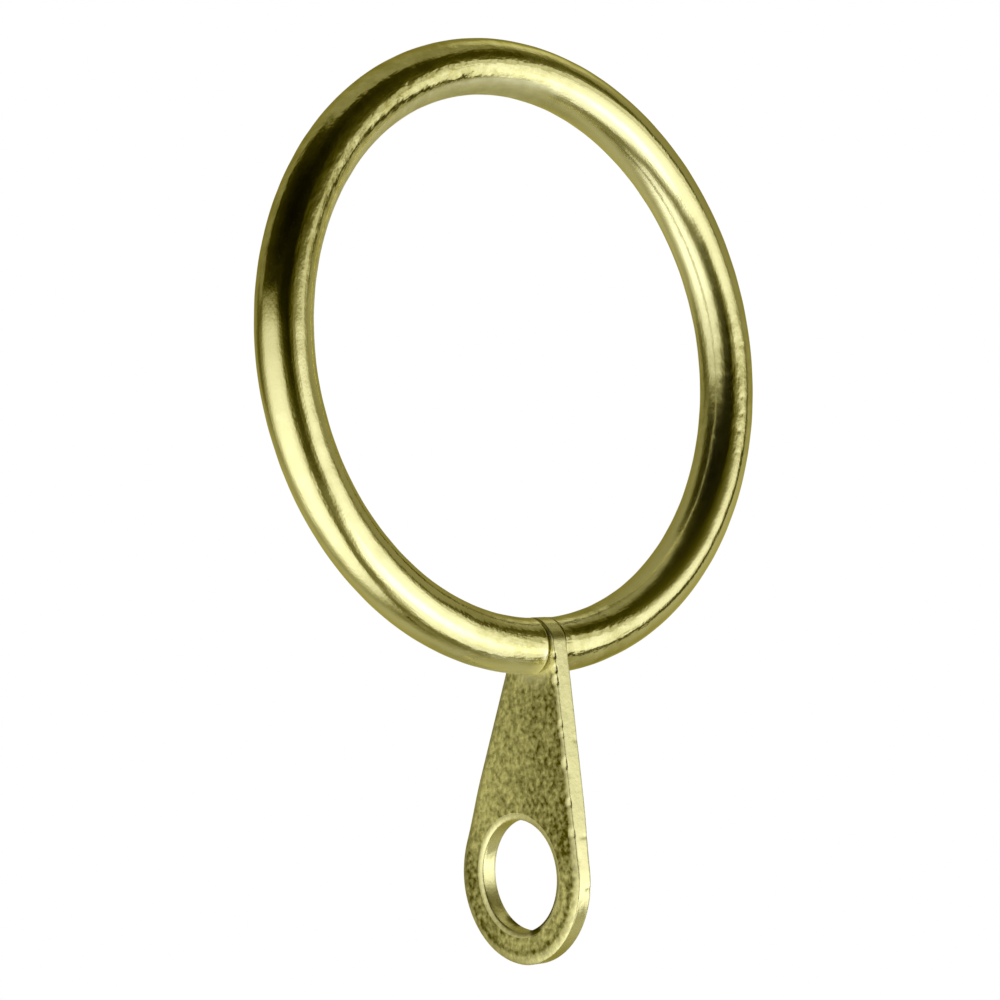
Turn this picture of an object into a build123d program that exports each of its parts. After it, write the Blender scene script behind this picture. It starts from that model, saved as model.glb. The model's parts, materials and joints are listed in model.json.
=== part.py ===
from build123d import *
import os

# Curtain ring: a round wire ring closed at the bottom by a flat eyelet tab.
# Millimetres and degrees. The origin is the ring's centre, the curtain rod runs
# along Y, +Z is up and the tab hangs towards -Z.

# Ring: solid round wire rolled into a circle
ring_inside_diameter = 38.0
wire_diameter = 4.1
wire_end_chamfer = 0.22  # easing of the sawn wire ends

# Eyelet tab: a stamped plate caught between the wire's two ends
tab_thickness = 1.4
tab_top_proud = 0.15  # how far the tab's round top stands out of the wire
tab_edge_round = 0.4
eye_drop = 16.6  # from the wire's centre line to the eye's centre
eye_outside_diameter = 12.8
eye_hole_diameter = 8.0
eye_rim_round = 0.35
tab_swing = 11.4  # angle at which the tab was fixed, out of the ring's plane

# Worked out from the sizes above
wire_radius = wire_diameter / 2
centre_line_radius = ring_inside_diameter / 2 + wire_radius
gap_cutter_side = 2 * wire_diameter
tab_top_radius = wire_radius + tab_top_proud
wire_ends_meet = Pos(0, 0, -centre_line_radius)


def make_ring():
    """Full wire circle with a gap at the bottom, as wide as the tab, and eased wire ends."""
    circle = Rotation(90, 0, 0) * Torus(centre_line_radius, wire_radius)
    gap = wire_ends_meet * Box(tab_thickness, gap_cutter_side, gap_cutter_side)
    wire = circle - gap
    end_faces = wire.faces().filter_by(GeomType.PLANE)
    return chamfer(end_faces.edges(), wire_end_chamfer)


def make_eyelet_tab():
    """Tapered link: straight sides drawn tangent from a small round top to the round eye below.

    The plate lies square to the wire, and is turned about the wire's line so that the eye
    stands a little behind the ring's plane.
    """
    eye_centre = Pos(0, -eye_drop)
    top = Circle(tab_top_radius)
    eye = eye_centre * Circle(eye_outside_diameter / 2)
    outline = make_hull(top.edges() + eye.edges())
    outline -= eye_centre * Circle(eye_hole_diameter / 2)
    plate = extrude(Plane.YZ * outline, tab_thickness / 2, both=True)

    flat_faces = plate.faces().filter_by(Axis.X)
    side_edges = [edge for face in flat_faces for edge in face.outer_wire().edges()]
    plate = fillet(side_edges, tab_edge_round)
    flat_faces = plate.faces().filter_by(Axis.X)
    rim_edges = [edge for face in flat_faces for edge in face.inner_wires().edges()]
    plate = fillet(rim_edges, eye_rim_round)
    return wire_ends_meet * Rotation(tab_swing, 0, 0) * plate


nodes = {
    "ring": make_ring(),
    "eyelet_tab": make_eyelet_tab(),
}

os.makedirs("parts", exist_ok=True)
for name, solid in nodes.items():
    export_step(solid, f"parts/{name}.step")
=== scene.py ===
"""Brass curtain ring: a polished wire ring closed by a tumbled eyelet tab, seen in a white light tent.

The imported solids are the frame. Two new surfaces stand for them: the wire, with its eased ends,
the braze below it and its handling marks, and the tab, with its worn edges. Metres throughout.
"""

import json
import math
from collections import namedtuple

import bpy
import numpy as np
from bpy.props import FloatProperty, FloatVectorProperty, PointerProperty
from mathutils import Matrix, Vector


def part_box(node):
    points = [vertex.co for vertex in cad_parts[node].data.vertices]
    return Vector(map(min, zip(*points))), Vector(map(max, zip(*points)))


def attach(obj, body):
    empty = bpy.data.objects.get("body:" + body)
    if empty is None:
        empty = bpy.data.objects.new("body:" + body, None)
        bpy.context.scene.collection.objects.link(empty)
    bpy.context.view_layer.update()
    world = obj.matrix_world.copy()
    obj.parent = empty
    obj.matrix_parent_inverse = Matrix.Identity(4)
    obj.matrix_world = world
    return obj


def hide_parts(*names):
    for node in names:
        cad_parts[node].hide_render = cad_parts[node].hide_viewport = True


bl_info = {
    "name": "Brass Curtain Ring",
    "version": (1, 0, 0),
    "blender": (4, 5, 0),
    "location": "View3D > Sidebar > Curtain Ring",
    "description": "Builds the wire, the eyelet tab and the light tent of a brass curtain ring",
    "category": "Add Mesh",
}

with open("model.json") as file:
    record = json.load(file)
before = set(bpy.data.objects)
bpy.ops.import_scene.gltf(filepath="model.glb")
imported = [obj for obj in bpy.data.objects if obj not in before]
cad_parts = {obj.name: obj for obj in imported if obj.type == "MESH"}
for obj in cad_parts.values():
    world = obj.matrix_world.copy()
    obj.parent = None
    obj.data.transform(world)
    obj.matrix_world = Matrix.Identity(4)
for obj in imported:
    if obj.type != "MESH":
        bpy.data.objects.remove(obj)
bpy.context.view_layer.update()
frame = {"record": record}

MM = 0.001
# Taken off the wire and the tab, so that no ripple stands out of the CAD model's box
SHAVE = 0.006 * MM


def linear(code):
    """An sRGB colour such as #E5DE90 as linear red, green, blue and alpha."""
    parts = np.array([int(code[i : i + 2], 16) for i in (1, 3, 5)]) / 255
    bent = np.where(parts <= 0.04045, parts / 12.92, ((parts + 0.055) / 1.055) ** 2.4)
    return (*bent.tolist(), 1.0)


# Sizes read from the frame
_, ring_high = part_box("ring")
tab_low, tab_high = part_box("eyelet_tab")
hook_eye = next(m for m in frame["record"]["mounts"] if m["name"] == "hook_eye")
wire_radius = ring_high.y
centre_line_radius = ring_high.x - wire_radius
tab_thickness = tab_high.x - tab_low.x
tab_top_radius = tab_high.z + centre_line_radius
eye_centre = Vector(hook_eye["pos_m"])
eye_radius = eye_centre.z - tab_low.z
hole_radius = hook_eye["dims"]["r_mm"] * MM
eye_drop = math.hypot(eye_centre.y, eye_centre.z + centre_line_radius)
tab_swing = math.atan2(eye_centre.y, -eye_centre.z - centre_line_radius)


class WireRingSettings(bpy.types.PropertyGroup):
    """Sizes and colours of the wire ring."""

    centre_line_radius: FloatProperty(
        name="Centre line radius",
        description="From the ring's centre to the middle of the wire",
        default=centre_line_radius,
        unit="LENGTH",
    )
    wire_radius: FloatProperty(
        name="Wire radius",
        description="Half the thickness of the round wire",
        default=wire_radius,
        unit="LENGTH",
    )
    end_gap: FloatProperty(
        name="End gap",
        description="Room between the two flat wire ends, filled by the tab",
        default=tab_thickness,
        unit="LENGTH",
    )
    end_easing: FloatProperty(
        name="End easing",
        description="Length of the rounding of the wire ends, which leaves a groove beside the tab",
        default=0.32 * MM,
        unit="LENGTH",
    )
    groove_depth: FloatProperty(
        name="Groove depth",
        description="Depth of the groove beside the tab",
        default=0.45 * MM,
        unit="LENGTH",
    )
    waviness: FloatProperty(
        name="Waviness",
        description="Height of the slow waves that rolling and buffing left in the wire",
        default=0.008 * MM,
        unit="LENGTH",
    )
    metal: FloatVectorProperty(
        name="Metal",
        description="Colour of clean polished brass",
        default=linear("#E5DEA8"),
        size=4,
        subtype="COLOR",
    )
    dull_metal: FloatVectorProperty(
        name="Dull metal",
        description="Colour where handling has dulled the polish",
        default=linear("#AEA662"),
        size=4,
        subtype="COLOR",
    )
    braze: FloatVectorProperty(
        name="Braze",
        description="Colour of the braze, and of the inner side where the rod rubs it paler",
        default=linear("#EFEDD8"),
        size=4,
        subtype="COLOR",
    )


class EyeletTabSettings(bpy.types.PropertyGroup):
    """Sizes and colours of the eyelet tab."""

    thickness: FloatProperty(
        name="Thickness",
        description="Thickness of the stamped plate",
        default=tab_thickness,
        unit="LENGTH",
    )
    top_radius: FloatProperty(
        name="Top radius",
        description="Radius of the tab's round top, round the wire's middle",
        default=tab_top_radius,
        unit="LENGTH",
    )
    eye_radius: FloatProperty(
        name="Eye radius",
        description="Outside radius of the round eye",
        default=eye_radius,
        unit="LENGTH",
    )
    hole_radius: FloatProperty(
        name="Hole radius",
        description="Radius of the hole for the curtain hook",
        default=hole_radius,
        unit="LENGTH",
    )
    rim_round: FloatProperty(
        name="Rim round",
        description="Rounding of the hole's rims",
        default=0.35 * MM,
        unit="LENGTH",
    )
    eye_drop: FloatProperty(
        name="Eye drop",
        description="From the wire's middle to the middle of the eye",
        default=eye_drop,
        unit="LENGTH",
    )
    swing: FloatProperty(
        name="Swing",
        description="How far the tab is turned out of the ring's plane",
        default=tab_swing,
        unit="ROTATION",
    )
    metal: FloatVectorProperty(
        name="Rubbed metal",
        description="Colour of the edges, rubbed bright by tumbling",
        default=linear("#E5DEA8"),
        size=4,
        subtype="COLOR",
    )
    dull_metal: FloatVectorProperty(
        name="Dull metal",
        description="Colour of the lightest specks of the mottled flat faces",
        default=linear("#D9D28C"),
        size=4,
        subtype="COLOR",
    )
    # Also the colour of the painted shade on the faces and in the hole
    dark_metal_and_shade: FloatVectorProperty(
        name="Dark metal",
        description="Colour of the darkest specks of the mottled flat faces",
        default=linear("#564F00"),
        size=4,
        subtype="COLOR",
    )


class LightTentSettings(bpy.types.PropertyGroup):
    """The stage: light tent, floor and camera."""

    tent_radius: FloatProperty(
        name="Tent radius",
        description="Radius of the tent that the metal mirrors",
        default=0.6,
        unit="LENGTH",
    )
    floor_drop: FloatProperty(
        name="Floor drop",
        description="How far the floor lies below the ring's centre",
        default=0.65,
        unit="LENGTH",
    )
    shade: FloatVectorProperty(
        name="Shade",
        description="Tint of the dim cloth round the ring",
        default=linear("#FFF345"),
        size=4,
        subtype="COLOR",
    )
    daylight: FloatVectorProperty(
        name="Daylight",
        description="Tint of the softboxes",
        default=linear("#FCFFFC"),
        size=4,
        subtype="COLOR",
    )
    floor: FloatVectorProperty(
        name="Floor",
        description="Colour of the pale floor",
        default=linear("#F4F4F2"),
        size=4,
        subtype="COLOR",
    )
    camera_azimuth: FloatProperty(
        name="Camera azimuth",
        description="Where the camera stands round the ring, 0 being in front",
        default=math.radians(-41.07),
        unit="ROTATION",
    )
    camera_elevation: FloatProperty(
        name="Camera elevation",
        description="How far the camera stands above the level of its aim",
        default=math.radians(-4.58),
        unit="ROTATION",
    )
    camera_roll: FloatProperty(
        name="Camera roll",
        description="Turn of the picture about the line of sight",
        default=math.radians(4.0),
        unit="ROTATION",
    )
    camera_distance: FloatProperty(
        name="Camera distance",
        description="From the camera to its aim",
        default=214.7 * MM,
        unit="LENGTH",
    )
    camera_aim: FloatVectorProperty(
        name="Camera aim",
        description="The point in the middle of the picture",
        default=(-0.90 * MM, 2.17 * MM, -10.31 * MM),
        subtype="TRANSLATION",
    )
    camera_lens: FloatProperty(
        name="Camera lens",
        description="Focal length in millimetres",
        default=107.08,
    )


def ramp(value, start, stop):
    """0 before the start, 1 past the stop, and a smooth S between them; the stop may be the lower one.

    A pair whose name ends in FADE holds such a start and stop.
    """
    t = np.clip((value - start) / (stop - start), 0, 1)
    return t * t * (3 - 2 * t)


def bell(value, middle, half_width, power=2):
    """exp(-u^power): 1 at the middle and 1/e at the half width; a higher even power is flatter on top."""
    return np.exp(-(((value - middle) / half_width) ** power))


def wrapped_angle(angle):
    """The same angle between minus half a turn and half a turn."""
    return (angle + np.pi) % (2 * np.pi) - np.pi


def mesh_of_grid(name, points, rows_closed=False, poles=()):
    """A mesh of quads over a grid of points, closed round its columns.

    points has the shape rows x columns x 3. With rows_closed the last row joins the first. Otherwise a pole
    closes the first row with a fan of triangles, and a second pole the last one. A face points the way of
    its columns crossed with its rows, which is outward on the closed grids here and up on the floor.
    """
    rows, columns = points.shape[:2]
    index = np.arange(rows * columns).reshape(rows, columns)
    if rows_closed:
        index = np.vstack([index, index[:1]])
    wide = np.hstack([index, index[:, :1]])
    quads = np.stack([wide[:-1, :-1], wide[:-1, 1:], wide[1:, 1:], wide[1:, :-1]], -1).reshape(-1, 4)
    loops = [quads.ravel()]
    counts = [np.full(len(quads), 4)]
    vertices = points.reshape(-1, 3)
    for last, pole in enumerate(poles):
        row = wide[-1] if last else wide[0]
        first, second = (row[:-1], row[1:]) if last else (row[1:], row[:-1])
        loops.append(np.stack([np.full(columns, len(vertices)), first, second], -1).ravel())
        counts.append(np.full(columns, 3))
        vertices = np.vstack([vertices, pole])
    loops = np.concatenate(loops)
    counts = np.concatenate(counts)

    mesh = bpy.data.meshes.new(name)
    mesh.vertices.add(len(vertices))
    mesh.vertices.foreach_set("co", vertices.astype(np.float32).ravel())
    mesh.loops.add(len(loops))
    mesh.loops.foreach_set("vertex_index", loops.astype(np.int32))
    mesh.polygons.add(len(counts))
    mesh.polygons.foreach_set("loop_start", (np.cumsum(counts) - counts).astype(np.int32))
    mesh.update(calc_edges=True)
    mesh.validate()
    mesh.shade_smooth()
    return mesh


def add_attribute(mesh, name, values):
    """Stores a number or a vector for each vertex, for the mesh's material to read; poles get zeros."""
    vector = values.ndim == 3
    attribute = mesh.attributes.new(name, "FLOAT_VECTOR" if vector else "FLOAT", "POINT")
    every = np.zeros(len(mesh.vertices) * (3 if vector else 1), np.float32)
    every[: values.size] = values.ravel()
    attribute.data.foreach_set("vector" if vector else "value", every)


def add_object(name, mesh, material):
    """Links a mesh into the scene as an object at the origin, with its material."""
    mesh.materials.append(material)
    made = bpy.data.objects.new(name, mesh)
    bpy.context.scene.collection.objects.link(made)
    return made


def add_node(tree, kind, inputs=None, **settings):
    """Adds a node. settings are its own properties; inputs are plain values or sockets to link from."""
    made = tree.nodes.new(kind)
    for name, value in settings.items():
        setattr(made, name, value)
    for key, value in (inputs or {}).items():
        if isinstance(value, bpy.types.NodeSocket):
            tree.links.new(value, made.inputs[key])
        else:
            made.inputs[key].default_value = value
    return made


def new_material(name):
    """An empty node material and its tree."""
    material = bpy.data.materials.new(name)
    material.use_nodes = True
    material.node_tree.nodes.clear()
    return material, material.node_tree


def grains_per_metre(millimetres):
    """Texture scale at which one grain of a noise is that many millimetres wide."""
    return 1 / (millimetres * MM)


# Sockets of the Mix node that mix colours
MIX_FACTOR, MIX_FIRST, MIX_SECOND, MIX_COLOUR = 0, 6, 7, 2
# Tint of both metals where they are seen at a grazing angle
GRAZING_TINT = linear("#EDE5A0")
# How far the rod has brought the wire's inner side to the braze's colour, and how much rougher than the
# polish the braze and that side are
ROD_PALENESS = 0.4
SATIN_ROUGHNESS = 0.36
# Only the brightest parts of the tab are smooth: the power of their brightness that sets the roughness
RUBBED_POWER = 3.0


def polished_brass_wire(settings):
    """Drawn brass wire, rolled into a ring and buffed.

    The eye gets a mirror with slightly soft edges, fine drawing lines along the wire, a drawn-out grain of
    scuffs where the vertex attribute scuffed is high, dull patches where it was handled, a satin and somewhat
    paler inner side where the rod has rubbed it (attribute dulled_inside), and satin, pale metal where the
    attribute brazed is high. The attribute straight gives the place on the straightened wire.
    """
    material, tree = new_material("polished_brass_wire")
    place = add_node(tree, "ShaderNodeTexCoord")
    straight = add_node(tree, "ShaderNodeAttribute", attribute_name="straight")
    scuffed = add_node(tree, "ShaderNodeAttribute", attribute_name="scuffed")
    brazed = add_node(tree, "ShaderNodeAttribute", attribute_name="brazed")
    dulled_inside = add_node(tree, "ShaderNodeAttribute", attribute_name="dulled_inside")

    def drawn_noise(length, width):
        """A noise whose grains lie along the wire, with their length and width in millimetres."""
        scale = (grains_per_metre(length), grains_per_metre(width), grains_per_metre(width))
        drawn = add_node(tree, "ShaderNodeMapping", {"Vector": straight.outputs["Vector"], "Scale": scale})
        return add_node(
            tree,
            "ShaderNodeTexNoise",
            {"Vector": drawn.outputs["Vector"], "Scale": 1.0, "Detail": 1.0, "Roughness": 0.5},
        )

    grain = drawn_noise(0.9, 0.4)
    # Real buffing marks and drawing lines are finer: these are as coarse as they need to be to show
    buffing_marks = drawn_noise(0.25, 0.16)
    drawing_lines = drawn_noise(5.0, 0.2)
    handling = add_node(
        tree,
        "ShaderNodeTexNoise",
        {"Vector": place.outputs["Object"], "Scale": grains_per_metre(1.4), "Detail": 5.0, "Roughness": 0.65},
    )
    handled = add_node(
        tree,
        "ShaderNodeMapRange",
        {"Value": handling.outputs["Fac"], "From Min": 0.35, "From Max": 0.7, "To Min": 0.1, "To Max": 1.0},
    )
    dulled = add_node(
        tree,
        "ShaderNodeMath",
        {0: handled.outputs["Result"], 1: scuffed.outputs["Fac"]},
        operation="MULTIPLY",
    )
    clean = add_node(
        tree,
        "ShaderNodeMix",
        {MIX_FACTOR: dulled.outputs["Value"], MIX_FIRST: settings.metal, MIX_SECOND: settings.dull_metal},
        data_type="RGBA",
    )
    rod_rubbed = add_node(
        tree,
        "ShaderNodeMath",
        {0: dulled_inside.outputs["Fac"], 1: ROD_PALENESS},
        operation="MULTIPLY",
    )
    paler = add_node(
        tree,
        "ShaderNodeMath",
        {0: brazed.outputs["Fac"], 1: rod_rubbed.outputs["Value"]},
        operation="MAXIMUM",
    )
    colour = add_node(
        tree,
        "ShaderNodeMix",
        {
            MIX_FACTOR: paler.outputs["Value"],
            MIX_FIRST: clean.outputs[MIX_COLOUR],
            MIX_SECOND: settings.braze,
        },
        data_type="RGBA",
    )
    polish = add_node(
        tree,
        "ShaderNodeMapRange",
        {"Value": grain.outputs["Fac"], "From Min": 0.3, "From Max": 0.75, "To Min": 0.07, "To Max": 0.12},
    )
    duller = add_node(
        tree,
        "ShaderNodeMath",
        {0: brazed.outputs["Fac"], 1: dulled_inside.outputs["Fac"]},
        operation="MAXIMUM",
    )
    roughness = add_node(
        tree,
        "ShaderNodeMath",
        {0: duller.outputs["Value"], 1: SATIN_ROUGHNESS, 2: polish.outputs["Result"]},
        operation="MULTIPLY_ADD",
    )
    grain_height = add_node(
        tree, "ShaderNodeMath", {0: grain.outputs["Fac"], 1: scuffed.outputs["Fac"]}, operation="MULTIPLY"
    )
    grain_bump = add_node(
        tree,
        "ShaderNodeBump",
        {"Height": grain_height.outputs["Value"], "Strength": 1.0, "Distance": 0.03 * MM},
    )
    bump = grain_bump
    for fine_noise in (buffing_marks, drawing_lines):
        bump = add_node(
            tree,
            "ShaderNodeBump",
            {
                "Height": fine_noise.outputs["Fac"],
                "Strength": 1.0,
                "Distance": 0.006 * MM,
                "Normal": bump.outputs["Normal"],
            },
        )
    surface = add_node(
        tree,
        "ShaderNodeBsdfPrincipled",
        {
            "Base Color": colour.outputs[MIX_COLOUR],
            "Metallic": 1.0,
            "Roughness": roughness.outputs["Value"],
            "Specular Tint": GRAZING_TINT,
            "Normal": bump.outputs["Normal"],
        },
    )
    add_node(tree, "ShaderNodeOutputMaterial", {"Surface": surface.outputs["BSDF"]})
    return material


def tumbled_brass_plate(settings):
    """Sheet brass, stamped and then tumbled with stones.

    The eye gets flat faces peened to a fine dark mottle, darker where the vertex attribute pitted is high,
    which also carries painted shade, and edges rubbed bright and smooth, where the attribute rubbed is 1;
    next to the wire that attribute also carries painted light.
    """
    material, tree = new_material("tumbled_brass_plate")
    place = add_node(tree, "ShaderNodeTexCoord")
    rubbed = add_node(tree, "ShaderNodeAttribute", attribute_name="rubbed")
    mottle_and_shade = add_node(tree, "ShaderNodeAttribute", attribute_name="mottle_and_shade")
    peening = add_node(
        tree,
        "ShaderNodeTexNoise",
        {"Vector": place.outputs["Object"], "Scale": grains_per_metre(0.4), "Detail": 2.0, "Roughness": 0.55},
    )
    patches = add_node(
        tree,
        "ShaderNodeTexNoise",
        {"Vector": place.outputs["Object"], "Scale": grains_per_metre(1.6), "Detail": 2.0, "Roughness": 0.5},
    )
    speckle = add_node(
        tree,
        "ShaderNodeMapRange",
        {"Value": peening.outputs["Fac"], "From Min": 0.25, "From Max": 0.75, "To Min": 0.5, "To Max": -0.5},
    )
    patchy = add_node(
        tree,
        "ShaderNodeMapRange",
        {"Value": patches.outputs["Fac"], "From Min": 0.3, "From Max": 0.7, "To Min": 0.1, "To Max": -0.1},
    )
    mottle = add_node(
        tree, "ShaderNodeMath", {0: speckle.outputs["Result"], 1: patchy.outputs["Result"]}, operation="ADD"
    )
    # The attribute pitted brings painted shade into this darkness, as well as the mottle's own depth
    darkness = add_node(
        tree,
        "ShaderNodeMath",
        {0: mottle.outputs["Value"], 1: mottle_and_shade.outputs["Fac"]},
        operation="ADD",
        use_clamp=True,
    )
    face_colour = add_node(
        tree,
        "ShaderNodeMix",
        {
            MIX_FACTOR: darkness.outputs["Value"],
            MIX_FIRST: settings.dull_metal,
            MIX_SECOND: settings.dark_metal_and_shade,
        },
        data_type="RGBA",
    )
    colour = add_node(
        tree,
        "ShaderNodeMix",
        {
            MIX_FACTOR: rubbed.outputs["Fac"],
            MIX_FIRST: face_colour.outputs[MIX_COLOUR],
            MIX_SECOND: settings.metal,
        },
        data_type="RGBA",
    )
    rubbed_smooth = add_node(
        tree, "ShaderNodeMath", {0: rubbed.outputs["Fac"], 1: RUBBED_POWER}, operation="POWER"
    )
    roughness = add_node(
        tree,
        "ShaderNodeMapRange",
        {"Value": rubbed_smooth.outputs["Value"], "To Min": 0.42, "To Max": 0.2},
    )
    peened = add_node(
        tree,
        "ShaderNodeMapRange",
        {"Value": rubbed.outputs["Fac"], "To Min": 1.0, "To Max": 0.35},
    )
    peen_height = add_node(
        tree, "ShaderNodeMath", {0: peening.outputs["Fac"], 1: peened.outputs["Result"]}, operation="MULTIPLY"
    )
    peen_bump = add_node(
        tree,
        "ShaderNodeBump",
        {"Height": peen_height.outputs["Value"], "Strength": 1.0, "Distance": 0.04 * MM},
    )
    surface = add_node(
        tree,
        "ShaderNodeBsdfPrincipled",
        {
            "Base Color": colour.outputs[MIX_COLOUR],
            "Metallic": 1.0,
            "Roughness": roughness.outputs["Result"],
            "Specular Tint": GRAZING_TINT,
            "Normal": peen_bump.outputs["Normal"],
        },
    )
    add_node(tree, "ShaderNodeOutputMaterial", {"Surface": surface.outputs["BSDF"]})
    return material


# A handling mark on the wire: where along it (degrees from the bottom, towards +X) and round it (degrees
# from its outer side, towards the back), how long and wide it is in millimetres, its slant in degrees from
# the wire's line, and its depth in millimetres, where a raised burr is negative
Mark = namedtuple("Mark", "along round length width slant depth")
WIRE_MARKS = (
    Mark(14.6, -130, 0.9, 0.12, 80, 0.03),
    Mark(93.0, -93, 0.35, 0.2, 70, 0.04),
    Mark(82.0, -98, 0.3, 0.22, 30, 0.03),
    Mark(78.5, -95, 0.4, 0.2, 60, 0.03),
    Mark(74.7, -99, 0.3, 0.2, 0, 0.03),
    Mark(70.0, -96, 0.25, 0.2, 40, 0.025),
    Mark(198.0, -110, 0.9, 0.16, 20, 0.035),
    Mark(195.0, -112, 0.5, 0.18, 65, -0.03),
    Mark(191.5, -113, 0.9, 0.16, -15, 0.04),
    Mark(188.0, -114, 0.6, 0.16, 15, 0.03),
    Mark(184.5, -116, 0.8, 0.16, 30, 0.04),
    Mark(204.0, -112, 0.5, 0.15, 60, 0.015),
    Mark(237.0, -60, 0.6, 0.14, 70, 0.015),
    Mark(249.0, -75, 0.7, 0.12, 35, 0.012),
)
# Small dents all over the wire: how many, and the range of their lengths, widths and depths in millimetres
SMALL_DENTS = 260
DENT_LENGTHS = (0.4, 1.2)
DENT_WIDTHS = (0.25, 0.5)
DENT_DEPTHS = (0.002, 0.012)
DENT_SEED = 7

# A stretch of the wire that is scuffed: its middle and half its length in degrees, and how badly
Scuff = namedtuple("Scuff", "along half_length strength")
WIRE_SCUFFS = (
    Scuff(203, 45, 0.9),
    Scuff(84, 22, 0.7),
    Scuff(0, 30, 0.8),
    Scuff(300, 30, 0.3),
    Scuff(240, 24, 0.9),
)
# The fade at the ends of such a stretch, as shares of its half length, and the wear elsewhere
SCUFF_FADE = (1.3, 0.3)
LIGHT_WEAR = 0.12

# The wire's slow waves: how many of each there are round the ring, and their most turns round the wire
WAVE_COUNTS = (5, 9, 14, 21, 27, 36, 48, 61)
WAVE_MOST_TURNS = 3
WAVE_SEED = 11

# Grid of the wire: rows along it, columns round it, and the rows of each end, over so many easings
WIRE_ROWS = 880
WIRE_COLUMNS = 96
WIRE_END_ROWS = 14
END_RUN = 2
# Next to its ends the wire is free of dents
END_CALM = 0.8 * MM
# The groove beside the tab, on its right and on its left, as a share of the full length and depth
GROOVE_SHARES = (0.25, 1.0)
# Braze fills the groove on the wire's underside: the fill's middle round the wire, and its fade by the
# cosine of the angle from there
FILL_MIDDLE = math.radians(15)
FILL_FADE = (0.62, 0.92)
# Pale braze to the left of the tab: its middle round the wire, the fades of its strip and of the groove by
# the cosine of the angle from there, the strip's fade along the wire, and the groove's reach in easings
BRAZE_MIDDLE = math.radians(10)
STRIP_FADE = (0.3, 0.8)
PALE_GROOVE_FADE = (-0.1, 0.3)
STRIP_RUN_FADE = (9.6 * MM, 1.6 * MM)
PALE_GROOVE_REACH = 1.5
# The inner side, dulled by the rod: its fade by the cosine of the angle from its middle, the middle of the
# stretch that is dulled most, the fade at the ends of that stretch, and how dull the rest is
ROD_SIDE_FADE = (0.5, 0.62)
SATIN_MIDDLE = math.radians(222)
SATIN_FADE = (math.radians(60), math.radians(44))
SATIN_LEAST = 0.28


def wire_scuffs(along):
    """How scuffed the wire is along its length, from 0 to 1."""
    total = np.full(along.shape, LIGHT_WEAR)
    for scuff in WIRE_SCUFFS:
        away = np.abs(wrapped_angle(along - math.radians(scuff.along))) / math.radians(scuff.half_length)
        total = np.maximum(total, scuff.strength * ramp(away, *SCUFF_FADE))
    return total


def wire_waves(along, around, height):
    """Slow waves of a rolled and buffed wire: a sum of sines along it, each turning round it.

    Each sine has a whole number of waves round the ring, and a strength that falls with that number's root.
    """
    draw = np.random.default_rng(WAVE_SEED)
    waves = np.array(WAVE_COUNTS)
    turns = draw.integers(0, WAVE_MOST_TURNS + 1, len(waves))
    phases = draw.uniform(0, 2 * np.pi, (2, len(waves)))
    strengths = height * np.sqrt(waves[0] / waves)
    total = np.zeros(along.shape)
    for wave, turn, phase, lean, strength in zip(waves, turns, *phases, strengths):
        total += strength * np.sin(wave * along + phase) * np.cos(turn * around + lean)
    return total


def small_dents():
    """Marks scattered over the whole wire by a seeded draw, the same every time."""
    draw = np.random.default_rng(DENT_SEED)
    columns = (
        draw.uniform(0, 360, SMALL_DENTS),
        draw.uniform(-180, 180, SMALL_DENTS),
        draw.uniform(*DENT_LENGTHS, SMALL_DENTS),
        draw.uniform(*DENT_WIDTHS, SMALL_DENTS),
        draw.uniform(-90, 90, SMALL_DENTS),
        draw.uniform(*DENT_DEPTHS, SMALL_DENTS),
    )
    return [Mark(*values) for values in zip(*columns)]


def wire_marks(along, around, marks, line, wire):
    """Height of the nicks and dents, below 0 in a hollow: each is a Gaussian, long along its own slant."""
    total = np.zeros(along.shape)
    for mark in marks:
        ahead = wrapped_angle(along - math.radians(mark.along)) * line
        aside = wrapped_angle(around - math.radians(mark.round)) * wire
        slant = math.radians(mark.slant)
        run = (ahead * math.cos(slant) + aside * math.sin(slant)) / (mark.length * MM / 2)
        across = (aside * math.cos(slant) - ahead * math.sin(slant)) / (mark.width * MM / 2)
        total -= mark.depth * MM * np.exp(-(run**2) - across**2)
    return total


def quarter_round(away, length, depth):
    """Height of a quarter ellipse: the depth where away is 0, falling to 0 where away is the length."""
    left = np.clip(1 - away / length, 0, 1)
    return depth * (1 - np.sqrt(1 - left**2))


def wire_grid(settings):
    """Angle along the ring, angle around the wire and unworn radius at each point of the wire's grid.

    In the rows near an end along = asin((half gap + away) / reach), so that each row is a plane. There the
    radius is the wire's less a quarter round, which leaves a groove beside the tab, but for the underside,
    which braze has filled. The rows between the ends are evenly spaced.
    """
    line, wire = settings.centre_line_radius, settings.wire_radius
    half_gap = settings.end_gap / 2
    around = np.linspace(0, 2 * np.pi, WIRE_COLUMNS, endpoint=False)[None, :]
    filled = ramp(np.cos(around - FILL_MIDDLE), *FILL_FADE)
    away = END_RUN * settings.end_easing * np.linspace(0, 1, WIRE_END_ROWS)[:, None] ** 2

    ends = []
    for share in GROOVE_SHARES:
        groove = quarter_round(away, share * settings.end_easing, share * settings.groove_depth)
        radius = wire - groove * (1 - filled)
        ends.append((np.arcsin((half_gap + away) / (line + radius * np.cos(around))), radius))
    (right_along, right_radius), (left_along, left_radius) = ends
    share = np.linspace(0, 1, WIRE_ROWS)[1:-1, None]
    body_start, body_stop = right_along[-1:], 2 * np.pi - left_along[-1:]
    body_along = body_start + share * (body_stop - body_start)
    along = np.vstack([right_along, body_along, 2 * np.pi - left_along[::-1]])
    radius = np.vstack([right_radius, np.full_like(body_along, wire), left_radius[::-1]])
    return along, np.broadcast_to(around, along.shape), radius


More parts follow.
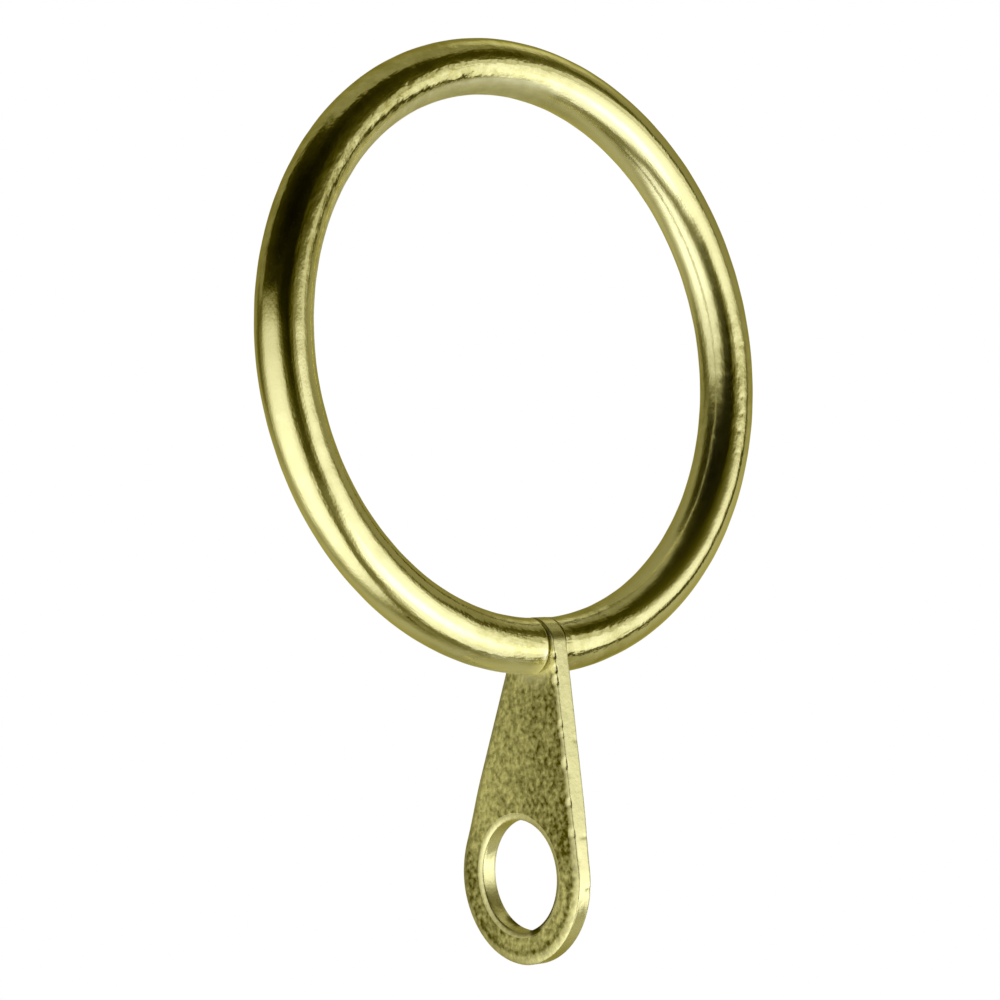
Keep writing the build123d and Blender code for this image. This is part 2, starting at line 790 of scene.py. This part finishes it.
def wire_braze(along, around, from_end, easing):
    """How pale braze makes the wire to the left of the tab: a strip on the underside, and the groove."""
    from_middle = np.cos(around - BRAZE_MIDDLE)
    strip = ramp(from_middle, *STRIP_FADE) * ramp(from_end, *STRIP_RUN_FADE)
    in_groove = ramp(from_middle, *PALE_GROOVE_FADE) * bell(from_end, 0, PALE_GROOVE_REACH * easing)
    return np.maximum(strip, in_groove) * (along > np.pi)


def wire_rod_side(along, around):
    """How far the rod has dulled the wire's inner side, from 0 to 1."""
    inner = ramp(-np.cos(around), *ROD_SIDE_FADE)
    satin = ramp(np.abs(wrapped_angle(along - SATIN_MIDDLE)), *SATIN_FADE)
    return inner * (SATIN_LEAST + (1 - SATIN_LEAST) * satin)


def wire_surface(settings):
    """Grid of the wire: a circle of the wire's radius carried round the ring between two plane ends.

    A point stands at the angle along, from the bottom towards +X, and the angle around, from the wire's
    outer side towards the back. Its reach from the ring's axis is line + radius cos(around), and
    x = reach sin(along), y = radius sin(around), z = -reach cos(along). Waves, marks and dents are added to
    the radius.
    """
    line, wire = settings.centre_line_radius, settings.wire_radius
    half_gap = settings.end_gap / 2
    along, around, radius = wire_grid(settings)
    from_end = line * np.abs(wrapped_angle(along)) - half_gap
    scuffed = wire_scuffs(along)
    worn = wire_waves(along, around, settings.waviness)
    worn = worn - worn.max() + wire_marks(along, around, WIRE_MARKS, line, wire)
    worn = worn + scuffed * wire_marks(along, around, small_dents(), line, wire)
    radius = radius + (worn - SHAVE) * ramp(from_end, 0, END_CALM)
    reach = line + radius * np.cos(around)
    points = np.stack([reach * np.sin(along), radius * np.sin(around), -reach * np.cos(along)], -1)
    # The ends stay plane, whatever the radius does there
    points[0, :, 0] = half_gap
    points[-1, :, 0] = -half_gap
    poles = [(half_gap, 0, -line), (-half_gap, 0, -line)]

    round_wire = wire * np.stack([np.cos(around), np.sin(around)], -1)
    attributes = {
        "straight": np.concatenate([line * along[..., None], round_wire], -1),
        "scuffed": scuffed,
        "brazed": wire_braze(along, around, from_end, settings.end_easing),
        "dulled_inside": wire_rod_side(along, around),
    }
    return points, poles, attributes


# Grid of the tab: stations round its outline, and the columns of a section over a face, over the collar
# inside the outline, over a round, over the edge and through the hole
TAB_STATIONS = 960
FACE_COLUMNS = 20
COLLAR_COLUMNS = 3
ROUND_COLUMNS = 10
EDGE_COLUMNS = 9
WALL_COLUMNS = 5
# A section goes over the right side, the edge and the left side, and ends on the hole's wall
SIDE_COLUMNS = ROUND_COLUMNS + FACE_COLUMNS + COLLAR_COLUMNS + ROUND_COLUMNS
EDGE_SPAN = slice(SIDE_COLUMNS, SIDE_COLUMNS + EDGE_COLUMNS)
LEFT_CORNER_SPAN = slice(EDGE_SPAN.stop, EDGE_SPAN.stop + ROUND_COLUMNS)
WALL_SPAN = slice(-WALL_COLUMNS, None)

# Width over the face and depth into the hole of the rim's round, as shares of the rim's size
RIM_WIDTH = 1.3
RIM_DEPTH = 0.45
# Width of the belt inside the outline that holds the corner's rounding
COLLAR = 0.75 * MM
# The outer corner's depth along the edge and width over the face, in millimetres: along the shank, and what
# the top, the eye and wear add; a soft corner is deeper still round the eye, and the right one is fairly soft
Corner = namedtuple("Corner", "shank top eye worn")
CORNER_DEPTH = Corner(0.09, 0.03, 0.06, 0.16)
CORNER_WIDTH = Corner(0.38, 0.18, 0.28, 0.06)
SOFT_EYE_DEPTH = 0.2
RIGHT_SOFTNESS = 0.7
# Fades of the top, of the eye and of the shank by the share of the way down from the top to the eye
TOP_FADE = (0.2, 0)
EYE_FADE = (0.7, 1)
SHANK_FADE = (0.95, 0.75)
# Fade of the front by how far the outline faces forward
FRONT_FADE = (0, 1 / 3)
# The top is dressed flush with the wire, where the rod slides: how deep, which way (back and up), and the
# fade by how far the outline faces that way
DRESSED_DEPTH = 0.12 * MM
DRESSED_WAY = np.array([0.5, 1.4])
DRESSED_FADE = (-0.1, 0.9)

# Stretches of the tab's front left corner that are worn round and bright: how far below the wire's middle
# and how long, in millimetres, and how far the wear goes, from 0 to 1
Wear = namedtuple("Wear", "drop length depth")
CORNER_WEAR = (
    Wear(0.3, 0.5, 0.9),
    Wear(1.25, 0.6, 0.9),
    Wear(2.05, 0.7, 0.9),
    Wear(5.0, 0.5, 0.5),
    Wear(5.8, 0.4, 0.4),
    Wear(7.75, 0.8, 0.8),
    Wear(10.4, 0.6, 0.7),
    Wear(12.5, 0.6, 0.6),
)
# Knocks in the tab's front edge: how far below the wire's middle and off the edge's middle, how long along
# the edge and across it, and how deep, in millimetres
Knock = namedtuple("Knock", "drop aside length width depth")
EDGE_KNOCKS = (
    Knock(6.2, 0.5, 0.5, 0.5, 0.03),
    Knock(8.3, -0.5, 0.9, 0.4, 0.03),
    Knock(9.6, 0.1, 1.6, 0.7, 0.012),
    Knock(12.8, 0.35, 0.35, 0.8, 0.04),
    Knock(14.2, -0.45, 0.8, 0.4, 0.03),
    Knock(16.5, 0.4, 0.35, 0.7, 0.045),
    Knock(4.1, -0.1, 1.4, 0.6, 0.012),
)

# How bright the rims, the hole's wall and, next to the edge, the corners are rubbed, where the edge is 1, and
# how much duller the shank's edge is
RIM_BRIGHT = 0.8
WALL_BRIGHT = 0.95
CORNER_BRIGHT = 0.65
SHANK_DULLER = 0.12
# The hole's wall is duller low down: by how much, and the fade by the drop, which is 1 at the eye's middle
LOW_WALL_DULLER = 0.45
LOW_WALL_FADE = (1.05, 1.17)
# Braze on the left face, together with painted light where the wire mirrors that face: how bright it is, and
# its fade by the distance from the wire's middle
BRAZE_AND_LIGHT_BRIGHT = 0.75
BRAZE_AND_LIGHT_FADE = (3.1 * MM, 2.2 * MM)

# Darkness of the mottle in the middle of a face, how much lighter it is at the top, and the fade by the drop
MOTTLE = 0.45
TOP_LIGHTER = 0.08
TOP_LIGHTER_FADE = (0.25, 0)
# Painted shade across a face: how the darkness changes from a face's middle to its back, at the top, with the
# drop, and what is added round the eye, with its fade by the drop; at the top the face is this share of the
# eye's breadth
TOP_SLOPE = -0.14
SLOPE_WITH_DROP = -0.3
EYE_SLOPE = 0.74
EYE_SLOPE_FADE = (0.75, 1.15)
TOP_BREADTH = 0.35
# A belt of painted shade round the eye: how far inside the outline it lies, half its width, its fade by the
# drop, its darkness at the back, and what is added at the front, with the fade from back to front
BELT_INSET = 0.85 * MM
BELT_HALF_WIDTH = 0.22 * MM
BELT_FADE = (0.85, 1)
BELT_DARK = 0.16
BELT_FRONT_DARK = 0.22
BELT_FRONT_FADE = (0.5, -0.5)

# A patch of painted shade at the hole: its middle and half its length in degrees round the hole, from the
# back downwards, its fade over the rim's round, its strength, and whether it is on the right only
Scale = namedtuple("Scale", "below half_length rim_fade strength right_only")
HOLE_SHADE_PATCHES = (
    Scale(70, 11, (1.0, 0.0), 1.0, True),
    Scale(122, 10, (1.15, 0.85), 1.0, False),
    Scale(148, 28, (0.65, 0.4), 0.8, False),
)
# Darkness of the painted shade in the hole, so far past 1 that hardly a speck of the mottle shows through
HOLE_SHADE_DARKNESS = 1.5
# Fade of the right side through the plate, from -1 on the left face to 1 on the right one
RIGHT_FADE = (-0.4, 0.6)


def tab_outline(settings, stations):
    """Outline of the tab in its own plane: a small round top joined to the round eye by tangent lines.

    Returned are points, outward directions and the share of the way from the top to the eye, evenly
    spaced along the outline. The origin is the wire's middle, the first axis runs to the back and the
    second one up. Both tangent lines meet the circles where the outward direction rises by
    asin((eye - top) / drop).
    """
    top, eye, drop = settings.top_radius, settings.eye_radius, settings.eye_drop
    rise = math.asin((eye - top) / drop)
    side = math.sqrt(drop**2 - (eye - top) ** 2)
    top_arc = top * (np.pi - 2 * rise)
    eye_arc = eye * (np.pi + 2 * rise)
    total = top_arc + eye_arc + 2 * side
    run = np.arange(stations) / stations * total
    # From the back end of the top arc over the top, down the front, round the eye and up the back
    on_top = np.clip(run, 0, top_arc) / top
    front = np.clip(run - top_arc, 0, side)
    on_eye = np.clip(run - top_arc - side, 0, eye_arc) / eye
    back = np.clip(run - top_arc - side - eye_arc, 0, side)
    angle = rise + on_top + on_eye
    outward = np.stack([np.cos(angle), np.sin(angle)], -1)
    down_share = (front - back) / side
    centre = np.stack([np.zeros(stations), -drop * down_share], -1)
    radius = top + (eye - top) * down_share
    points = centre + outward * radius[:, None]
    return points, outward, down_share


def tab_wear(drop):
    """How worn the front left corner is at each drop below the wire's middle, from 0 to 1."""
    worn = np.zeros(len(drop))
    for wear in CORNER_WEAR:
        worn = np.maximum(worn, wear.depth * bell(drop / MM, wear.drop, wear.length / 2, power=4))
    return worn


def tab_knocks(drop, aside):
    """Depth of the knocks in the front edge: each is a Gaussian hollow."""
    total = np.zeros(len(drop))
    for knock in EDGE_KNOCKS:
        lengthwise = bell(drop / MM, knock.drop, knock.length / 2)
        crosswise = bell(aside / MM, knock.aside, knock.width / 2)
        total += knock.depth * MM * lengthwise * crosswise
    return total


def tab_rounding(down_share, worn, soft):
    """Depth along the edge and width over the face of the tab's outer corner, a quarter ellipse.

    The corner is a shallow bevel along the shank, wider round the eye, and deeper where it is worn or soft.
    """
    at_top = ramp(down_share, *TOP_FADE)
    at_eye = ramp(down_share, *EYE_FADE)
    depth, width = (
        MM * (corner.shank + corner.top * at_top + corner.eye * at_eye + corner.worn * worn)
        for corner in (CORNER_DEPTH, CORNER_WIDTH)
    )
    return depth + MM * SOFT_EYE_DEPTH * soft * at_eye, width


def tab_rubbing(settings, points, down_share, worn):
    """How bright each point of the flat tab is rubbed, from 0 to 1.

    The edge and the hole are bright, the corners more and more so towards the edge, and their worn stretches
    fully. The shank's edge and the lower part of the hole's wall are duller. Next to the wire the left face
    is
    bright too: braze that has run from the wire, and painted light where the wire mirrors that face.
    """
    corner = CORNER_BRIGHT * np.sqrt(np.sin(np.linspace(0, np.pi / 2, ROUND_COLUMNS)))
    flat = np.zeros(FACE_COLUMNS + COLLAR_COLUMNS)
    side = np.concatenate([np.full(ROUND_COLUMNS, RIM_BRIGHT), flat, corner])
    section = np.concatenate([side, np.ones(EDGE_COLUMNS), side[::-1], np.full(WALL_COLUMNS, WALL_BRIGHT)])
    rubbed = np.tile(section, (TAB_STATIONS, 1))
    rubbed[:, EDGE_SPAN] -= SHANK_DULLER * ramp(down_share, *SHANK_FADE)[:, None]
    rubbed[:, LEFT_CORNER_SPAN] += (1 - rubbed[:, LEFT_CORNER_SPAN]) * worn[:, None]
    across, back, up = np.moveaxis(points, -1, 0)
    # Braze and painted light: the left face next to the wire is made bright, where the wire mirrors it
    braze_and_light = ramp(np.hypot(back, up), *BRAZE_AND_LIGHT_FADE) * (across < 0)
    rubbed = np.maximum(rubbed, BRAZE_AND_LIGHT_BRIGHT * braze_and_light)
    low = ramp(-up[:, WALL_SPAN] / settings.eye_drop, *LOW_WALL_FADE)
    rubbed[:, WALL_SPAN] -= LOW_WALL_DULLER * low
    return rubbed


def tab_mottle_and_shade(settings, points):
    """How dark the mottle is at each point of the flat tab, from 0 to about 1.

    Painted shade is laid over it: along the shank the faces are darker towards the front and lightest at the
    lower back corner; round the eye they are darker towards the back, and in a belt just inside the outer
    corner. The hole is clean.
    """
    _, back, up = np.moveaxis(points, -1, 0)
    drop = -up / settings.eye_drop
    breadth = settings.eye_radius * np.clip(TOP_BREADTH + (1 - TOP_BREADTH) * drop, TOP_BREADTH, 1)
    to_back = back / breadth
    slope = TOP_SLOPE + SLOPE_WITH_DROP * drop + EYE_SLOPE * ramp(drop, *EYE_SLOPE_FADE)
    inset = settings.eye_radius - np.hypot(back, up + settings.eye_drop)
    belt = bell(inset, BELT_INSET, BELT_HALF_WIDTH) * ramp(drop, *BELT_FADE)
    belt = belt * (BELT_DARK + BELT_FRONT_DARK * ramp(to_back, *BELT_FRONT_FADE))
    # The slopes and the belt are painted shade; MOTTLE is the plain depth of the mottle
    mottle_and_shade = MOTTLE + slope * to_back + belt - TOP_LIGHTER * ramp(drop, *TOP_LIGHTER_FADE)
    mottle_and_shade[:, WALL_SPAN] = 0
    return mottle_and_shade


def tab_hole_shade(settings, points):
    """How far painted shade covers the hole's wall and rims low down, from 0 to 1: flat bells round the hole.
    """
    across, back, up = np.moveaxis(points, -1, 0)
    above_eye = up + settings.eye_drop
    below = np.degrees(np.arctan2(-above_eye, back))
    over_rim = (np.hypot(back, above_eye) - settings.hole_radius) / (RIM_WIDTH * settings.rim_round)
    on_right = ramp(across / (settings.thickness / 2), *RIGHT_FADE)
    total = np.zeros(below.shape)
    for patch in HOLE_SHADE_PATCHES:
        cover = patch.strength * bell(below, patch.below, patch.half_length, power=4)
        cover = cover * ramp(over_rim, *patch.rim_fade)
        total = np.maximum(total, cover * on_right if patch.right_only else cover)
    return total


def tab_surface(settings, line):
    """Grid of the tab: its section carried round the outline.

    Each section runs from the hole's wall over the rim's round, the right face, a flat collar, the outer
    round, the edge and back over the left side to the hole. The hole's point stands at the same angle about
    the eye's middle as the outline's point. Every point is then turned by the swing about X, and lowered by
    the radius of the ring's centre line.
    """
    half = settings.thickness / 2
    outline, outward, down_share = tab_outline(settings, TAB_STATIONS)
    eye = np.array([0, -settings.eye_drop])
    ray = outline - eye
    ray /= np.linalg.norm(ray, axis=1, keepdims=True)
    at_front = ramp(-outward[:, 0], *FRONT_FADE)
    worn = tab_wear(-outline[:, 1]) * at_front
    dressed = DRESSED_DEPTH * ramp(outward @ DRESSED_WAY, *DRESSED_FADE)
    rim_width, rim_depth = RIM_WIDTH * settings.rim_round, RIM_DEPTH * settings.rim_round
    turn = np.linspace(0, np.pi / 2, ROUND_COLUMNS)
    face_share = (1 - np.cos(np.linspace(0, np.pi, FACE_COLUMNS + 2)[1:-1])) / 2
    collar_share = np.linspace(0, 1, COLLAR_COLUMNS, endpoint=False)
    edge_share = np.linspace(1, -1, EDGE_COLUMNS + 2)[1:-1]
    wall_share = np.linspace(-1, 1, WALL_COLUMNS + 2)[1:-1]
    nothing = np.zeros(TAB_STATIONS)

    def outer_point(inset, height):
        """One column inside the outline, at a height over the plate's middle."""
        knocks = tab_knocks(-outline[:, 1], height) * at_front * ramp(inset, COLLAR, 0)
        flat = outline - outward * (inset + dressed + knocks + SHAVE)[:, None]
        return np.column_stack([height, flat])

    def hole_point(out, height):
        """One column outside the hole, at a height over the plate's middle."""
        flat = eye + ray * (settings.hole_radius + out)
        return np.column_stack([height + nothing, flat])

    def half_section(side, depth, width):
        """The columns of one side, from the hole over the rim, the face, the collar and the outer corner."""
        over_rim = [
            hole_point(rim_width * (1 - math.cos(a)), side * (half - rim_depth * (1 - math.sin(a))))
            for a in turn
        ]
        over_collar = [
            outer_point(COLLAR + (width - COLLAR) * share, nothing + side * half)
            for share in collar_share
        ]
        over_corner = [
            outer_point(width * (1 - math.sin(a)), side * (half - depth * (1 - math.cos(a))))
            for a in turn
        ]
        inner, outer = over_rim[-1], over_collar[0]
        over_face = [inner + (outer - inner) * share for share in face_share]
        return over_rim + over_face + over_collar + over_corner

    right_depth, right_width = tab_rounding(down_share, nothing, RIGHT_SOFTNESS)
    left_depth, left_width = tab_rounding(down_share, worn, 1 - at_front)
    right = half_section(1, right_depth, right_width)
    left = half_section(-1, left_depth, left_width)
    middle, reach = (left_depth - right_depth) / 2, half - (right_depth + left_depth) / 2
    over_edge = [outer_point(nothing, middle + reach * share) for share in edge_share]
    through_hole = [hole_point(0, (half - rim_depth) * share) for share in wall_share]
    points = np.stack(right + over_edge + left[::-1] + through_hole, 1)

    rubbed = tab_rubbing(settings, points, down_share, worn)
    mottle_and_shade = tab_mottle_and_shade(settings, points)
    # dark is the painted shade in the hole: it makes the metal there dull and dark
    dark = tab_hole_shade(settings, points)
    attributes = {"rubbed": rubbed * (1 - dark), "mottle_and_shade": mottle_and_shade + (HOLE_SHADE_DARKNESS - mottle_and_shade) * dark}
    turned = np.array(Matrix.Rotation(settings.swing, 3, "X"))
    return points @ turned.T + np.array((0, 0, -line)), attributes


# A soft card of the tent: its middle (degrees round from the front and up), half its width and height, how
# far it leans for each degree up, the softness of its edge, and its light in the middle and at the edge
Card = namedtuple("Card", "azimuth elevation half_width half_height lean softness middle edge")
TENT_CARDS = (
    Card(127, -38, 63, 37, -0.22, 1.15, 0.34, 0.7),
    Card(100, 48, 22, 16, 0.0, 1.0, 0.85, 0.4),
    Card(-50, 44, 96, 32, -0.3, 0.25, 0.005, 0.055),
    Card(34, 38, 28, 12, 0.3, 1.15, 0.05, 0.04),
    Card(-30, 4, 25, 28, 0.1, 0.5, 0.01, 0.01),
    Card(-53, -62, 23, 54, 0.0, 1.2, 0.0, 0.17),
    Card(2, -71, 83, 10, 1.25, 0.5, 0.1, 0.35),
    Card(-157, 9, 10, 13, 0.3, 0.8, 0.13, 0.2),
    Card(-97, -6, 58, 24, -0.1, 0.2, 0.42, 0.05),
    Card(-87, -29, 38, 46, -0.15, 0.4, 1.2, 0.8),
    Card(-97, -39, 42, 30, -0.15, 1.15, 1.7, 1.4),
    Card(18, -28, 35, 43, 0.25, 1.1, 1.2, 0.28),
    Card(32, -29, 32, 36, 0.3, 0.15, 0.06, 0.06),
    Card(26, -28, 30, 37, 0.15, 0.25, 1.6, 1.1),
    Card(17, -30, 29, 15, 0.6, 0.8, 2.6, 1.5),
    Card(45, 13, 7, 6, -0.1, 0.85, 0.88, 0.7),
    Card(58, 25, 4, 17, 0.45, 1.05, 0.08, 0.12),
)
# Light of the tent's wall at the top, at the bottom and at the right, and the least light anywhere
WALL_LIGHT_TOP = 0.35
WALL_LIGHT_LOW = 0.2
WALL_LIGHT_RIGHT = 0.31
DARKEST_LIGHT = 0.002
# The tint is daylight from this light up, and shade this many halvings below it
DAYLIGHT_FROM = 1.35
SHADE_HALVINGS = 4.2
TENT_COLUMNS = 240
TENT_ROWS = 120


def tent_light(azimuth, elevation, settings):
    """Light of the tent by direction: a graded wall, with the cards laid over it in order.

    A card is a rounded square, |u|^4 + |v|^4 = 1, over its own width and height. It fades at its edge by an
    S-curve, and its light falls from the middle to the edge with the square of the distance. The tint goes
    from shade to daylight with the logarithm of the light.
    """
    az, el = np.radians(azimuth), np.radians(elevation)
    light = WALL_LIGHT_LOW + (WALL_LIGHT_TOP - WALL_LIGHT_LOW) * (1 + np.sin(el)) / 2
    light = light + (WALL_LIGHT_RIGHT - light) * np.cos(el) * (1 + np.sin(az)) / 2
    for card in TENT_CARDS:
        lean = card.lean * (elevation - card.elevation)
        u = ((azimuth - card.azimuth - lean + 180) % 360 - 180) / card.half_width
        v = (elevation - card.elevation) / card.half_height
        out = (u**4 + v**4) ** 0.25
        cover = ramp(out, 1 + card.softness / 2, 1 - card.softness / 2)
        on_card = card.edge + (card.middle - card.edge) * np.clip(1 - out**2, 0, 1)
        light = light + (on_card - light) * cover
    light = np.maximum(light, DARKEST_LIGHT)[..., None]
    brightness = np.clip(1 + np.log2(light / DAYLIGHT_FROM) / SHADE_HALVINGS, 0, 1)
    shade, daylight = np.array(settings.shade[:3]), np.array(settings.daylight[:3])
    return light * (shade + (daylight - shade) * brightness)


def make_tent(settings):
    """The light tent: a sphere of radius r round the ring.

    x = r cos(el) sin(az), y = -r cos(el) cos(az), z = r sin(el).
    """
    azimuth = np.linspace(-180, 180, TENT_COLUMNS, endpoint=False)[None, :]
    elevation = np.linspace(-90, 90, TENT_ROWS + 2)[1:-1, None]
    az, el = np.radians(azimuth), np.radians(elevation)
    level = np.ones_like(az)
    points = settings.tent_radius * np.stack(
        [np.cos(el) * np.sin(az), -np.cos(el) * np.cos(az), np.sin(el) * level], -1
    )
    ends = [(0, 0, -settings.tent_radius), (0, 0, settings.tent_radius)]
    mesh = mesh_of_grid("light_tent", points, poles=ends)
    colour = tent_light(azimuth * np.ones_like(elevation), elevation * level, settings)
    colour = np.vstack([colour.reshape(-1, 3), colour[0].mean(0), colour[-1].mean(0)])
    glow = mesh.attributes.new("glow", "FLOAT_COLOR", "POINT")
    opaque = np.column_stack([colour, np.ones(len(colour))])
    glow.data.foreach_set("color", opaque.astype(np.float32).ravel())

    material, tree = new_material("tent_light")
    light = add_node(tree, "ShaderNodeAttribute", attribute_name="glow")
    emission = add_node(tree, "ShaderNodeEmission", {"Color": light.outputs["Color"], "Strength": 1.0})
    add_node(tree, "ShaderNodeOutputMaterial", {"Surface": emission.outputs["Emission"]})
    material.cycles.emission_sampling = "NONE"
    tent = add_object("light_tent", mesh, material)
    # Only mirrors see the tent: it neither hides the white ground nor lights the floor
    tent.visible_camera = False
    tent.visible_diffuse = False
    tent.visible_transmission = False
    tent.visible_volume_scatter = False
    tent.visible_shadow = False
    return tent


# The floor's radius in metres, its rings and columns, and where it starts to fade to white and is white
FLOOR_REACH = 2.5
FLOOR_RINGS = 11
FLOOR_COLUMNS = 64
FLOOR_FADE_START = 0.4 * FLOOR_REACH
FLOOR_FADE_END = 0.95 * FLOOR_REACH
# Strength of the plain light from all round
ROOM_LIGHT = 0.6


def make_floor(settings):
    """Pale round floor below the tent: rings of growing radius, fading to plain white at the rim."""
    rings = np.linspace(0, 1, FLOOR_RINGS + 1)[1:, None] * FLOOR_REACH
    lap = np.linspace(2 * np.pi, 0, FLOOR_COLUMNS, endpoint=False)[None, :]
    height = np.full(np.broadcast(rings, lap).shape, -settings.floor_drop)
    points = np.stack([rings * np.cos(lap), rings * np.sin(lap), height], -1)
    mesh = mesh_of_grid("floor", points, poles=[(0, 0, -settings.floor_drop)])

    material, tree = new_material("pale_floor")
    place = add_node(tree, "ShaderNodeTexCoord")
    flat = add_node(
        tree, "ShaderNodeVectorMath", {0: place.outputs["Object"], 1: (1, 1, 0)}, operation="MULTIPLY"
    )
    away = add_node(tree, "ShaderNodeVectorMath", {0: flat.outputs["Vector"]}, operation="LENGTH")
    fade = add_node(
        tree,
        "ShaderNodeMapRange",
        {"Value": away.outputs["Value"], "From Min": FLOOR_FADE_START, "From Max": FLOOR_FADE_END},
        interpolation_type="SMOOTHSTEP",
    )
    paint = add_node(tree, "ShaderNodeBsdfDiffuse", {"Color": settings.floor})
    white = add_node(tree, "ShaderNodeEmission", {"Color": linear("#FFFFFF"), "Strength": 1.0})
    both = add_node(
        tree,
        "ShaderNodeMixShader",
        {0: fade.outputs["Result"], 1: paint.outputs["BSDF"], 2: white.outputs["Emission"]},
    )
    add_node(tree, "ShaderNodeOutputMaterial", {"Surface": both.outputs["Shader"]})
    return add_object("floor", mesh, material)


def set_world():
    """White ground where the camera or a mirror looks past the stage, and a plain grey light elsewhere."""
    world = bpy.data.worlds.new("studio")
    bpy.context.scene.world = world
    world.use_nodes = True
    tree = world.node_tree
    tree.nodes.clear()
    path = add_node(tree, "ShaderNodeLightPath")
    seen = add_node(
        tree,
        "ShaderNodeMath",
        {0: path.outputs["Is Camera Ray"], 1: path.outputs["Is Glossy Ray"]},
        operation="MAXIMUM",
    )
    seen_or_clear = add_node(
        tree,
        "ShaderNodeMath",
        {0: seen.outputs["Value"], 1: path.outputs["Is Transmission Ray"]},
        operation="MAXIMUM",
    )
    strength = add_node(
        tree,
        "ShaderNodeMapRange",
        {"Value": seen_or_clear.outputs["Value"], "To Min": ROOM_LIGHT, "To Max": 1.0},
    )
    ground = add_node(
        tree,
        "ShaderNodeBackground",
        {"Color": linear("#FFFFFF"), "Strength": strength.outputs["Result"]},
    )
    add_node(tree, "ShaderNodeOutputWorld", {"Surface": ground.outputs["Background"]})


def add_lamp():
    """A broad soft lamp above, for the ring's shadow on the floor; the metal mirrors the tent alone."""
    lamp = bpy.data.lights.new("overhead_softbox", "AREA")
    lamp.shape = "DISK"
    lamp.size = 0.5
    lamp.energy = 8.0
    made = bpy.data.objects.new("overhead_softbox", lamp)
    made.location = (0.1, -0.1, 0.5)
    made.visible_glossy = False
    bpy.context.scene.collection.objects.link(made)


def add_camera(settings):
    """Camera at its azimuth, elevation and distance from the aim, rolled about its line of sight."""
    az, el, roll = settings.camera_azimuth, settings.camera_elevation, settings.camera_roll
    back = Vector((math.sin(az) * math.cos(el), -math.cos(az) * math.cos(el), math.sin(el)))
    level_right = Vector((math.cos(az), math.sin(az), 0))
    level_up = back.cross(level_right)
    right = math.cos(roll) * level_right - math.sin(roll) * level_up
    up = math.sin(roll) * level_right + math.cos(roll) * level_up
    lens = bpy.data.cameras.new("camera")
    lens.sensor_width = 36.0
    lens.lens = settings.camera_lens
    lens.clip_start = 10 * MM
    camera = bpy.data.objects.new("camera", lens)
    turn = Matrix((right, up, back)).transposed().to_4x4()
    place = Vector(settings.camera_aim) + back * settings.camera_distance
    camera.matrix_world = Matrix.Translation(place) @ turn
    bpy.context.scene.collection.objects.link(camera)
    bpy.context.scene.camera = camera


class CURTAINRING_OT_wire_ring(bpy.types.Operator):
    """Build the polished wire ring"""

    bl_idname = "curtain_ring.wire_ring"
    bl_label = "Wire Ring"

    def execute(self, context):
        settings = context.scene.wire_ring
        points, poles, attributes = wire_surface(settings)
        mesh = mesh_of_grid("wire_ring", points, poles=poles)
        for name, values in attributes.items():
            add_attribute(mesh, name, values)
        ring = add_object("wire_ring", mesh, polished_brass_wire(settings))
        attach(ring, "root")
        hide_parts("ring")
        return {"FINISHED"}


class CURTAINRING_OT_eyelet_tab(bpy.types.Operator):
    """Build the tumbled eyelet tab"""

    bl_idname = "curtain_ring.eyelet_tab"
    bl_label = "Eyelet Tab"

    def execute(self, context):
        settings = context.scene.eyelet_tab
        points, attributes = tab_surface(settings, context.scene.wire_ring.centre_line_radius)
        mesh = mesh_of_grid("stamped_eyelet", points, rows_closed=True)
        for name, values in attributes.items():
            add_attribute(mesh, name, values)
        tab = add_object("stamped_eyelet", mesh, tumbled_brass_plate(settings))
        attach(tab, "root")
        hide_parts("eyelet_tab")
        return {"FINISHED"}


class CURTAINRING_OT_light_tent(bpy.types.Operator):
    """Set up the light tent, the floor and the camera"""

    bl_idname = "curtain_ring.light_tent"
    bl_label = "Light Tent"

    def execute(self, context):
        settings = context.scene.light_tent
        make_tent(settings)
        make_floor(settings)
        set_world()
        add_lamp()
        add_camera(settings)
        context.scene.view_settings.view_transform = "Standard"
        return {"FINISHED"}


class CURTAINRING_PT_sidebar(bpy.types.Panel):
    """Sizes, colours and build buttons of the curtain ring"""

    bl_label = "Curtain Ring"
    bl_idname = "CURTAINRING_PT_sidebar"
    bl_space_type = "VIEW_3D"
    bl_region_type = "UI"
    bl_category = "Curtain Ring"

    def draw(self, context):
        for operator, group in BUILD_ORDER:
            box = self.layout.box()
            settings = getattr(context.scene, group)
            for name in settings.__annotations__:
                box.prop(settings, name)
            box.operator(operator.bl_idname)


SETTINGS = {
    "wire_ring": WireRingSettings,
    "eyelet_tab": EyeletTabSettings,
    "light_tent": LightTentSettings,
}
BUILD_ORDER = (
    (CURTAINRING_OT_wire_ring, "wire_ring"),
    (CURTAINRING_OT_eyelet_tab, "eyelet_tab"),
    (CURTAINRING_OT_light_tent, "light_tent"),
)


def register():
    """Make the settings, operators and panel known to Blender."""
    for name, group in SETTINGS.items():
        bpy.utils.register_class(group)
        setattr(bpy.types.Scene, name, PointerProperty(type=group))
    for operator, _ in BUILD_ORDER:
        bpy.utils.register_class(operator)
    bpy.utils.register_class(CURTAINRING_PT_sidebar)


def unregister():
    """Take them out again."""
    bpy.utils.unregister_class(CURTAINRING_PT_sidebar)
    for operator, _ in reversed(BUILD_ORDER):
        bpy.utils.unregister_class(operator)
    for name, group in SETTINGS.items():
        delattr(bpy.types.Scene, name)
        bpy.utils.unregister_class(group)


def main():
    """Build every piece and the stage."""
    register()
    bpy.ops.curtain_ring.wire_ring()
    bpy.ops.curtain_ring.eyelet_tab()
    bpy.ops.curtain_ring.light_tent()
    bpy.context.view_layer.update()


if __name__ == "__main__":
    main()
